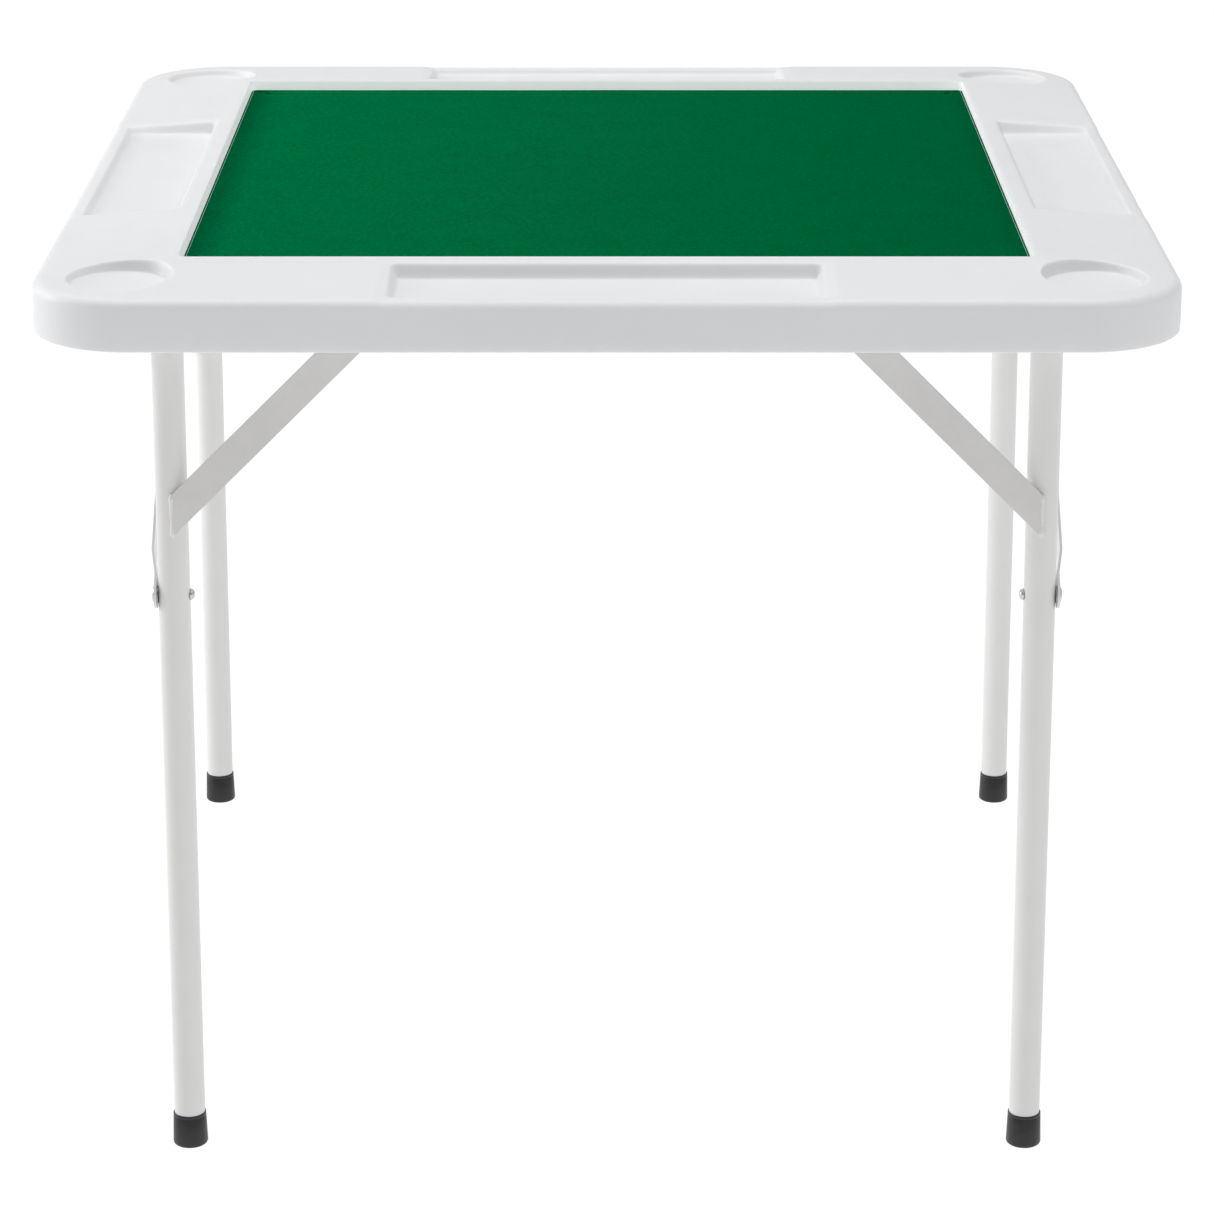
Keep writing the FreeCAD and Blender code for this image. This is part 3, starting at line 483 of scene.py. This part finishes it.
def make_top_shell():
    """The blow-moulded top as one closed skin, built from rings that run from the recess out and under."""
    sides = border_lines()
    shares = np.linspace(0.0, 1.0, 150)[1:-1]

    def ring(half, radius):
        return rounded_square(half, radius, sides, shares)

    rings = []
    lean = math.atan2(RECESS_DRAFT, TOP_Z - RECESS_ROUND - RECESS_FLOOR)
    for run, z in ((0.0, RECESS_FLOOR), (0.2, RECESS_FLOOR + 0.7), (RECESS_DRAFT, TOP_Z - RECESS_ROUND)):
        rings.append(at_height(ring(RECESS_HALF + run, RECESS_CORNER + run), z))
    for turn in np.linspace(lean, math.pi / 2, 5)[1:-1]:
        grow = RECESS_DRAFT + RECESS_ROUND * (math.cos(lean) - math.cos(turn))
        z = TOP_Z - RECESS_ROUND * (1 - math.sin(turn))
        rings.append(at_height(ring(RECESS_HALF + grow, RECESS_CORNER + grow), z))
    inner_grow = RECESS_DRAFT + RECESS_ROUND
    inner_half = RECESS_HALF + inner_grow
    inner = ring(inner_half, RECESS_CORNER + inner_grow)
    flat_half = TOP_HALF - EDGE_ROUND
    outer = ring(flat_half, OUTER_CORNER - EDGE_ROUND)
    for share in np.linspace(0.0, 1.0, 118):
        outline = inner + (outer - inner) * share
        reach = inner_half + (flat_half - inner_half) * share
        fall = BORDER_FALL * np.clip((reach - BORDER_START) / (TOP_HALF - BORDER_START), 0, 1)
        rings.append(at_height(outline, border_height(outline, fall)))
    edge_z = rings[-1][:, 2] - EDGE_ROUND
    for turn in np.linspace(math.pi / 2, 0.0, 10)[1:]:
        half = flat_half + EDGE_ROUND * math.cos(turn)
        outline = ring(half, OUTER_CORNER - TOP_HALF + half)
        rings.append(at_height(outline, edge_z + EDGE_ROUND * math.sin(turn)))
    for share in (0.35, 0.7, 1.0):
        z = edge_z + (SKIRT_Z + LOWER_ROUND - edge_z) * share
        rings.append(at_height(ring(TOP_HALF, OUTER_CORNER), z))
    for turn in np.linspace(0.0, math.pi / 2, 5)[1:]:
        half = TOP_HALF - LOWER_ROUND * (1 - math.cos(turn))
        z = SKIRT_Z + LOWER_ROUND * (1 - math.sin(turn))
        rings.append(at_height(ring(half, OUTER_CORNER - TOP_HALF + half), z))

    width = len(rings[0])
    points = np.vstack(rings)
    faces = [tuple(range(width))] + ring_faces(0, len(rings), width)
    # the recess's upright wall faces take the lip material, whose paler colour and glow are painted light
    painted_lip_face_count = 3 * width
    pan_points, pan_faces, pan_outline = pan_mesh(len(points))
    faces += zip_faces(rings[-1], len(points) - width, pan_outline, len(points))
    faces += pan_faces
    tones = [1 if 1 <= index <= painted_lip_face_count else 0 for index in range(len(faces))]
    return new_piece("top_shell", np.vstack([points, pan_points]), faces, "tabletop", "white_hdpe",
                     [MATERIALS["white_hdpe"], recess_lip_painted_light()], ["tabletop_shell"], tones)


def pan_mesh(start):
    """The pan below the top: its wall, and a roof with a grid of moulded dimples.

    start is the number of its first point in the shell."""
    steps = 6
    side_count, corner_count = 17, 21
    sides = np.linspace(0.0, 320.0, side_count)
    shares = np.linspace(0.0, 1.0, corner_count + 2)[1:-1]
    profile = [(LOWER_ROUND, SKIRT_Z)]
    for turn in np.linspace(0.0, math.pi / 2, 5)[1:]:
        profile.append((LOWER_ROUND * (1 - math.sin(turn)), SKIRT_Z + LOWER_ROUND * (1 - math.cos(turn))))
    for turn in np.linspace(0.0, math.pi / 2, 6):
        profile.append((-PAN_ROUND * (1 - math.cos(turn)), PAN_ROOF - PAN_ROUND * (1 - math.sin(turn))))
    rings = []
    for grow, z in profile:
        rings.append(at_height(rounded_square(PAN_HALF + grow, PAN_CORNER + grow, sides, shares), z))
    width = len(rings[0])
    points = [tuple(point) for ring in rings for point in ring]
    faces = ring_faces(start, len(rings), width)

    known = {}

    def point_at(x, y, z):
        key = (round(x, 3), round(y, 3), round(z, 3))
        if key not in known:
            known[key] = start + len(points)
            points.append((x, y, z))
        return known[key]

    def square_ring(x, y, half, divisions):
        """Point numbers round a square, counterclockwise from the middle of its +X side."""
        count = divisions * 4
        numbers = []
        for step in range(count):
            run = (step + divisions / 2) / divisions
            side, along = int(run) % 4, run % 1.0
            offset = (2 * along - 1) * half
            dx, dy = ((half, offset), (-offset, half), (-half, -offset), (offset, -half))[side]
            numbers.append(point_at(x + dx, y + dy, PAN_ROOF))
        return numbers

    half_field = DIMPLE_PITCH * DIMPLE_COUNT / 2
    edge = square_ring(0.0, 0.0, half_field, steps * DIMPLE_COUNT)
    last = start + (len(rings) - 1) * width
    for step in range(width):
        following = (step + 1) % width
        faces.append((last + step, edge[step], edge[following], last + following))

    dimple = ((12.0, 0.0), (11.2, 0.35), (10.2, 1.5), (8.0, 4.0), (7.0, 4.8))
    first_centre = DIMPLE_PITCH / 2 - half_field
    for column in range(DIMPLE_COUNT):
        for row in range(DIMPLE_COUNT):
            x, y = first_centre + column * DIMPLE_PITCH, first_centre + row * DIMPLE_PITCH
            previous = square_ring(x, y, DIMPLE_PITCH / 2, steps)
            count = len(previous)
            for radius, rise in dimple:
                current = []
                for step in range(count):
                    turn = 2 * math.pi * step / count
                    rim_x, rim_y = x + radius * math.cos(turn), y + radius * math.sin(turn)
                    current.append(point_at(rim_x, rim_y, PAN_ROOF + rise))
                for step in range(count):
                    following = (step + 1) % count
                    faces.append((previous[step], current[step], current[following], previous[following]))
                previous = current
            faces.append(tuple(reversed(previous)))
    return np.array(points), faces, rings[0]


def make_felt():
    """The felt sheet: an uneven nap, a soft cut edge with a painted highlight, and a thin dark backing
    that shows round it, its near-black colour painted shade for the gap at the felt's edge.
    """
    corner = 4.0
    insets = (0.5, 0.75, 1.2, 1.8, 2.7, 4.4, 8.0)
    drops = (0.5, 0.25, 0.05, -0.10, -0.12, 0.0, 0.0)
    sides = np.linspace(0.0, FELT_HALF - corner, 60)
    shares = np.linspace(0.0, 1.0, 9)[1:-1]
    # the backing sheet stands out round the felt; its near-black colour is painted shade for the shadowed
    # gap
    backing_out, backing_top = 0.8, RECESS_FLOOR + 0.9
    levels = [(backing_out, RECESS_FLOOR + 0.02), (backing_out, backing_top)]
    levels += [(-insets[0], backing_top + 0.02)]
    levels += [(-inset, FELT_TOP - drop) for inset, drop in zip(insets, drops)]
    rings = []
    for grow, z in levels:
        outline = rounded_square(FELT_HALF + grow, max(corner + grow, 0.5), sides, shares)
        rings.append(at_height(outline, z))
    span = FELT_HALF - insets[-1]
    inner_sides = sides * span / (FELT_HALF - corner) * 0.985
    for share in np.linspace(1.0, 0.02, 60)[1:]:
        outline = rounded_square(span * share, 0.5 * share, inner_sides * share, shares)
        rings.append(at_height(outline, FELT_TOP))
    points = np.vstack(rings)
    width = len(rings[0])
    lying = points[:, 2] > FELT_TOP - 0.5
    wave = (
        np.sin(points[:, 0] / 61.0 + 0.7) * np.sin(points[:, 1] / 47.0 + 1.9)
        + 0.6 * np.sin((points[:, 0] + points[:, 1]) / 23.0)
        + 0.5 * np.sin((points[:, 0] - 1.7 * points[:, 1]) / 31.0)
    )
    points[:, 2] += np.where(lying, 0.06 * wave, 0.0)
    middle = tuple(reversed(range(len(points) - width, len(points))))
    faces = ring_faces(0, len(rings), width) + [middle, tuple(range(width))]
    # the rings just inside the backing take the cut-edge material, pale fibre ends with a painted
    # highlight
    shade_backing_rings, edge_highlight_rings = 2, 5
    tones = []
    for ring in range(len(rings) - 1):
        tone = 2 if ring < shade_backing_rings else 1 if ring < edge_highlight_rings else 0
        tones += [tone] * width
    tones += [0, 2]
    faces = [tuple(reversed(face)) for face in faces]
    felt = new_piece("felt_cloth", points, faces, "tabletop", "green_felt",
                     [MATERIALS["green_felt"], felt_edge_with_highlight(), felt_backing_painted_shade()], ["playing_felt"], tones)
    return felt


# ---- metal and plastic fittings ----

def dome(radius, height, shank_radius, shank_length):
    """A domed head above z = 0 with a shank below it."""
    head = [(0.0, height)]
    for share in (0.3, 0.55, 0.75, 0.9):
        head.append((radius * share, height * math.sqrt(1 - (share * 0.96) ** 2)))
    head += [(radius * 0.985, height * 0.22), (radius, height * 0.1), (radius * 0.99, 0.0)]
    shank = [(shank_radius, 0.0), (shank_radius, -shank_length), (0.0, -shank_length)]
    profile = [(0.0, -shank_length)] + list(reversed(shank[:-1])) + list(reversed(head))
    return lathe(profile)


def node_centre(node):
    low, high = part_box(node)
    return (low + high) / 2 / MM


def make_foot_cap(end, side):
    """Black cap: rounded foot, slight taper and a thin lip round the tube."""
    node = f"{end}_{side}_foot_cap"
    low, high = (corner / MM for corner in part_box(node))
    base, height = (high.x - low.x) / 2, high.z
    lip = TUBE_RADIUS + 0.9
    foot = [(0.0, 0.0), (base - 2.4, 0.0), (base - 1.2, 0.25), (base - 0.4, 0.9), (base, 2.0)]
    groove = [(base - 0.05, 3.6), (lip + 0.05, height - 3.0), (lip - 0.15, height - 2.7),
              (lip - 0.15, height - 2.4), (lip, height - 2.1)]
    rim = [(lip, height - 0.9), (lip - 0.25, height - 0.3), (lip - 0.7, height)]
    bore = [(TUBE_RADIUS + 0.02, height - 0.3), (TUBE_RADIUS + 0.02, 4.0), (0.0, 4.0)]
    profile = foot + groove + rim + bore
    centre = node_centre(node)
    points, faces = placed(lathe(profile, 48), Matrix.Translation((centre.x, centre.y, 0.0)))
    new_piece(f"{end}_{side}_cap", points, faces, f"{end}_leg_frame", "black_rubber",
              [MATERIALS["black_rubber"]], [node])


def make_leg_bolts(end):
    """Domed strut bolts and small round nuts on both legs of a frame."""
    low, high = (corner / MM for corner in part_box(f"{end}_leg_bolts"))
    nut_low, nut_high = (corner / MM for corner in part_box(f"{end}_leg_nuts"))
    y, z = (low.y + high.y) / 2, (low.z + high.z) / 2
    head_radius, head_height = (high.z - low.z) / 2, 2.0
    shank_radius, nut_height = 3.0, 3.5
    seat = high.x - head_height
    shank = seat - nut_high.x
    bolts, nuts = [], []
    for side in (-1, 1):
        bolts.append(placed(dome(head_radius, head_height, shank_radius, shank),
                            outward(side, side * seat, y, z)))
        nuts.append(placed(dome((nut_high.z - nut_low.z) / 2, nut_height, 2.0, 0.3),
                           outward(-side, side * nut_high.x, y, z)))
    body = f"{end}_leg_frame"
    new_piece(f"{end}_strut_bolts", *joined(bolts), body, "zinc_fastener", [MATERIALS["zinc_fastener"]],
              [f"{end}_leg_bolts"])
    new_piece(f"{end}_strut_nuts", *joined(nuts), body, "zinc_fastener", [MATERIALS["zinc_fastener"]],
              [f"{end}_leg_nuts"])


def make_knuckle(end, side_name, side):
    """The two domed halves of the rivet at a strut's knee."""
    for half, facing, link in (("inner", -side, "lower"), ("outer", side, "upper")):
        node = f"{end}_{side_name}_knuckle_rivet_{half}"
        low, high = (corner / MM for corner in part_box(node))
        centre = node_centre(node)
        head_height, pin_radius = 1.5, 3.95
        tip = high.x if facing > 0 else low.x
        length = high.x - low.x - head_height
        shape = dome((high.z - low.z) / 2, head_height, pin_radius, length)
        points, faces = placed(shape, outward(facing, tip - facing * head_height, centre.y, centre.z))
        new_piece(f"{end}_{side_name}_rivet_{half}", points, faces, f"{end}_{side_name}_{link}_link",
                  "zinc_fastener", [MATERIALS["zinc_fastener"]], [node])


def bead(path, radius, closed=False):
    """A weld bead along a path: a lumpy tube with ripples."""
    path = np.asarray(path, float)
    count, around = len(path), 10
    ahead = np.roll(path, -1, 0) - np.roll(path, 1, 0)
    if not closed:
        ahead[0], ahead[-1] = path[1] - path[0], path[-1] - path[-2]
    ahead /= np.linalg.norm(ahead, axis=1)[:, None]
    run = np.concatenate([[0], np.cumsum(np.linalg.norm(np.diff(path, axis=0), axis=1))])
    ripple = 0.10 * np.sin(run * 2 * math.pi / 2.6)
    lumps = np.convolve(RANDOM.normal(0, 1, count + 4), np.ones(5) / 5, "valid")
    size = radius * (1 + ripple + 0.22 * lumps)
    if not closed:
        ends = np.minimum(np.arange(count), np.arange(count)[::-1])
        size = size * (1 + 0.35 * np.exp(-((ends - 2.5) / 2.0) ** 2)) * np.clip(ends / 1.5, 0.25, 1)
    points = []
    for place, along, thick in zip(path, ahead, size):
        first = Vector(along).orthogonal().normalized()
        if abs(along[2]) < 0.99:
            first = Vector((0, 0, 1)).cross(Vector(along)).normalized()
        second = Vector(along).cross(first)
        for step in range(around):
            turn = 2 * math.pi * step / around
            spoke = math.cos(turn) * np.array(first) + math.sin(turn) * np.array(second)
            points.append(place + thick * spoke)
    faces = [tuple(reversed(face)) for face in ring_faces(0, count, around)]
    if closed:
        last = (count - 1) * around
        for step in range(around):
            following = (step + 1) % around
            faces.append((following, step, last + step, last + following))
    else:
        faces += [tuple(reversed(range(around))), tuple(range((count - 1) * around, count * around))]
    return np.array(points), faces


def make_welds(end, way):
    """Weld beads of a leg frame: each coped tube joint, and both ends of each brace."""
    shapes = []
    for side_name, side in (("left", -1), ("right", 1)):
        leg = node_centre(f"{end}_{side_name}_leg_tube")
        tube_low, tube_high = (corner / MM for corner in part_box(f"{end}_{side_name}_leg_tube"))
        leg.x = (tube_low.x if side > 0 else tube_high.x) + side * TUBE_RADIUS
        bar = node_centre(f"{end}_crossbar")
        low, high = (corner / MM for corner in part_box(f"{end}_{side_name}_brace"))
        turns = np.linspace(0, 2 * math.pi, 56, endpoint=False)
        seat = TUBE_RADIUS + 0.2
        saddle = np.column_stack([
            leg.x + seat * np.cos(turns),
            leg.y + seat * np.sin(turns),
            bar.z - seat * np.abs(np.cos(turns)),
        ])
        shapes.append(bead(saddle, 1.5, closed=True))
        outer_face = leg.y + way * TUBE_RADIUS
        leg_end = low.x if side < 0 else high.x
        bar_end = high.x if side < 0 else low.x
        width = 24.0 * math.sqrt(2)
        upright = [(leg_end, outer_face + way * 1.2, z)
                   for z in np.linspace(low.z - 1, low.z + width + 1, 24)]
        level = [(x, outer_face + way * 1.2, high.z - 0.6)
                 for x in np.linspace(bar_end, bar_end + side * width, 24)]
        shapes += [bead(upright, 1.9), bead(level, 1.9)]
    new_piece(f"{end}_weld_beads", *joined(shapes), f"{end}_leg_frame", "white_steel",
              [MATERIALS["white_steel"]])


def soften_cad_nodes():
    """Give every shown CAD node its finish, and break the sharp edges of bars and brackets."""
    slots = {row["node"]: row["material_slot"] for row in frame["record"]["subparts"]}
    rounds = {"brace": 0.5, "saddle": 0.35, "anchor": 0.35, "plugs": 0.4, "pins": 0.3, "screws": 0.3}
    for name, node in frame["nodes"].items():
        material = BAR_COAT if name.endswith("brace") else MATERIALS[slots[name]]
        for slot in node.material_slots:
            slot.material = material
        if node.hide_render:
            continue
        width = next((size for word, size in rounds.items() if word in name), None)
        if width is None:
            continue
        weld = node.modifiers.new("join_faces", "WELD")
        weld.merge_threshold = 0.00002
        bevel = node.modifiers.new("broken_edges", "BEVEL")
        bevel.width = width * MM
        bevel.segments = 2
        bevel.limit_method = "ANGLE"
        bevel.angle_limit = math.radians(35)
        normals = node.modifiers.new("even_normals", "WEIGHTED_NORMAL")
        normals.keep_sharp = False


# ---- build ----

make_top_shell()
make_felt()
for frame_name, direction in (("front", -1), ("rear", 1)):
    make_leg_bolts(frame_name)
    make_welds(frame_name, direction)
    for side_label, sign in (("left", -1), ("right", 1)):
        make_foot_cap(frame_name, side_label)
        make_knuckle(frame_name, side_label, sign)
soften_cad_nodes()


# ---- camera, floor and light ----

def make_camera():
    data = bpy.data.cameras.new("camera")
    data.sensor_width = 36.0
    data.lens = 116.25
    data.clip_end = 100.0
    camera = bpy.data.objects.new("camera", data)
    camera.location = (0.0, -3.2771, 1.4841)
    camera.rotation_euler = (math.radians(70.675), 0.0, 0.0)
    bpy.context.scene.collection.objects.link(camera)
    bpy.context.scene.camera = camera


def make_floor():
    """A wide plain white floor."""
    reach = 30.0
    mesh = bpy.data.meshes.new("floor")
    mesh.from_pydata([(-reach, -reach, 0), (reach, -reach, 0), (reach, reach, 0), (-reach, reach, 0)],
                     [], [(0, 1, 2, 3)])
    floor = bpy.data.objects.new("floor", mesh)
    bpy.context.scene.collection.objects.link(floor)
    m = Nodes("studio_floor")
    m.shader.inputs["Emission Color"].default_value = (1, 1, 1, 1)
    m.shader.inputs["Emission Strength"].default_value = 1.0
    cloud = m.noise(2.0, 2.0)
    colour = m.mix(m.span(cloud, 0.0, 1.0), (0.05, 0.05, 0.05, 1), (0.06, 0.06, 0.06, 1))
    m.finish(colour, 0.9, m.bump(cloud, 0.01), Specular_IOR_Level=0.0)
    mesh.materials.append(m.material)


def make_light(name, place, target, size, strength):
    """A square softbox. strength is its radiance."""
    data = bpy.data.lights.new(name, "AREA")
    data.shape = "SQUARE"
    data.size = size
    data.energy = strength * math.pi * size * size
    light = bpy.data.objects.new(name, data)
    light.location = place
    light.rotation_euler = (Vector(target) - Vector(place)).to_track_quat("-Z", "Y").to_euler()
    bpy.context.scene.collection.objects.link(light)


def make_world(level):
    world = bpy.data.worlds.new("studio")
    world.use_nodes = True
    background = world.node_tree.nodes["Background"]
    background.inputs["Color"].default_value = (1.0, 1.0, 1.0, 1)
    background.inputs["Strength"].default_value = level
    bpy.context.scene.world = world


make_camera()
make_floor()
make_world(0.34)
TABLE_MIDDLE = (0.0, 0.0, 0.6)
make_light("overhead_softbox", (-0.1, 0.2, 3.6), TABLE_MIDDLE, 4.0, 1.57)
make_light("left_softbox", (-3.21, 0.69, 1.55), TABLE_MIDDLE, 2.0, 4.2)
make_light("right_softbox", (2.27, -1.42, 2.69), TABLE_MIDDLE, 2.0, 0.75)
bpy.context.scene.view_settings.view_transform = "Standard"
